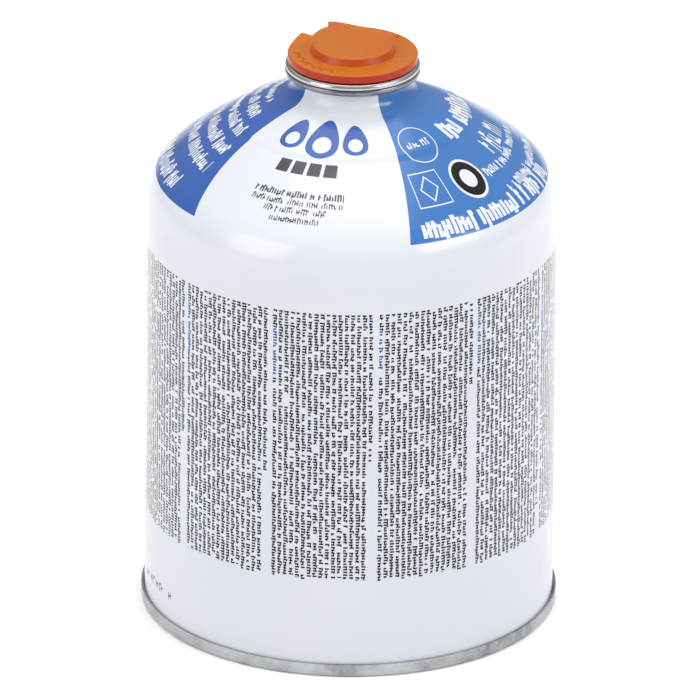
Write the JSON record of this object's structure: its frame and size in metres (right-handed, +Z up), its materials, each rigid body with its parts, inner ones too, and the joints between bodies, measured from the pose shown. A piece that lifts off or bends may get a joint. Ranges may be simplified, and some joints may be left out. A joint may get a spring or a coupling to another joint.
{
  "type": "fuel canister",
  "caption": "Upright steel gas canister with domed shoulder, seamed base, screw valve in a drawn cup and a clip-on plastic cap that lifts off.",
  "frame": {"origin": "centre of the seamed base, on the surface that the canister stands on", "axes": "+Z up the canister's axis, -Y towards the front of the print as pictured, +X to its right"},
  "size_m": [0.1098, 0.1098, 0.1577],
  "materials": {
    "lacquered_steel": "gloss lacquer, white with blue fields and small dark print",
    "tinplate": "bright tinplate with fine turned lines",
    "black_rubber": "matt",
    "natural_nylon": "satin moulded",
    "spring_steel": "drawn wire",
    "stem_brass": "turned",
    "orange_plastic": "semi-gloss moulded"
  },
  "bodies": {
    "canister": {"can_body": "lacquered_steel", "seamed_base": "tinplate", "neck_gasket": "black_rubber", "valve_cup": "tinplate", "stem_gasket": "black_rubber", "valve_housing": "natural_nylon", "valve_spring": "spring_steel"},
    "stem": {"valve_stem": "stem_brass"},
    "cap": {"protective_cap": "orange_plastic"}
  },
  "joints": [
    {"name": "cap_pull", "type": "slide", "parent": "canister", "child": "cap", "axis": [0, 0, 1], "range_m": [0, 0.025]},
    {"name": "valve_press", "type": "slide", "parent": "canister", "child": "stem", "axis": [0, 0, -1], "range_m": [0, 0.0015], "stiffness_N_per_m": 1500, "springref_m": -0.002, "deforming": ["valve_spring"]}
  ]
}
